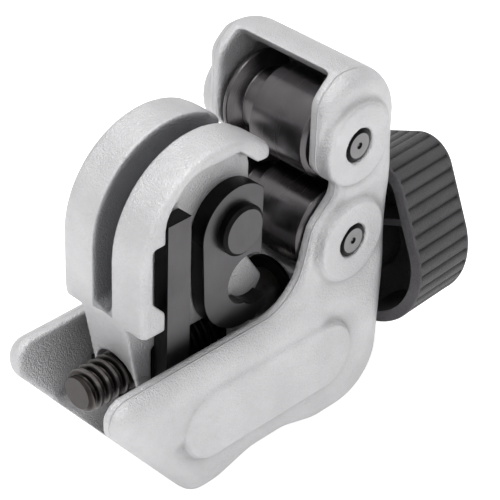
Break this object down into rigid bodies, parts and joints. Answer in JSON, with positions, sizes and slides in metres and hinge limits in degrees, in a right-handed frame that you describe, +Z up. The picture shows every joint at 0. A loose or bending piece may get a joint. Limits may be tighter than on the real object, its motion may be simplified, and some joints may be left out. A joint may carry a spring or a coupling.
{
  "type": "close-quarters tubing cutter",
  "caption": "Compact hand tubing cutter: C-shaped cast housing with rollers, a screw-driven slide with a spring-fed cutter wheel, and a ribbed two-wing knob.",
  "frame": {"origin": "middle of the bounding box in X and Y, on the surface the tool stands on", "axes": "+X along the feed screw towards the knob, +Z up through both rollers, +Y across the tool, cut plane at Y = 0"},
  "size_m": [0.0676, 0.0336, 0.0582],
  "materials": {
    "cast_alloy": "satin, lightly textured casting",
    "roller_steel": "black oxide, polished",
    "pin_steel": "dark burnished",
    "blackened_steel": "black oxide, satin",
    "screw_steel": "dark, lightly oiled",
    "spring_steel": "bright drawn wire",
    "wheel_steel": "ground",
    "zinc_steel": "zinc plated",
    "knob_plastic": "fine-grained, matte"
  },
  "bodies": {
    "frame": {"housing": "cast_alloy", "roller_pin_upper": "pin_steel", "roller_pin_lower": "pin_steel", "thrust_washer": "zinc_steel"},
    "upper_roller": {"roller_upper": "roller_steel"},
    "lower_roller": {"roller_lower": "roller_steel"},
    "feed": {"knob": "knob_plastic", "knob_screw": "zinc_steel", "feed_screw": "screw_steel", "retaining_ring": "zinc_steel"},
    "nut": {"feed_nut": "blackened_steel", "nut_arm_near": "blackened_steel", "nut_arm_far": "blackened_steel", "feed_spring": "spring_steel"},
    "slide": {"slide_casting": "cast_alloy", "side_plate_near": "blackened_steel", "side_plate_far": "blackened_steel", "wheel_pin": "blackened_steel", "pin_clip": "spring_steel", "spring_seat": "zinc_steel"},
    "wheel": {"cutter_wheel": "wheel_steel"}
  },
  "joints": [
    {"name": "knob_turn", "type": "hinge", "parent": "frame", "child": "feed", "pos_m": [0.0201, 0, 0.01875], "axis": [-1, 0, 0], "range_deg": [-3060, 495]},
    {"name": "nut_travel", "type": "slide", "parent": "frame", "child": "nut", "axis": [1, 0, 0], "range_m": [-0.01349, 0.00218]},
    {"name": "auto_feed", "type": "slide", "parent": "nut", "child": "slide", "axis": [1, 0, 0], "range_m": [-0.002, 0], "stiffness_N_per_m": 4000, "springref_m": 0.002, "deforming": ["feed_spring"]},
    {"name": "wheel_spin", "type": "hinge", "parent": "slide", "child": "wheel", "pos_m": [-0.007, 0, 0.03895], "axis": [0, 1, 0], "continuous": true},
    {"name": "upper_roller_spin", "type": "hinge", "parent": "frame", "child": "upper_roller", "pos_m": [0.0112, 0, 0.04685], "axis": [0, 1, 0], "continuous": true},
    {"name": "lower_roller_spin", "type": "hinge", "parent": "frame", "child": "lower_roller", "pos_m": [0.0112, 0, 0.03105], "axis": [0, 1, 0], "continuous": true}
  ],
  "couplings": [
    {"joint": "knob_turn", "follows": "nut_travel", "rad_per_m": 3957.9}
  ]
}
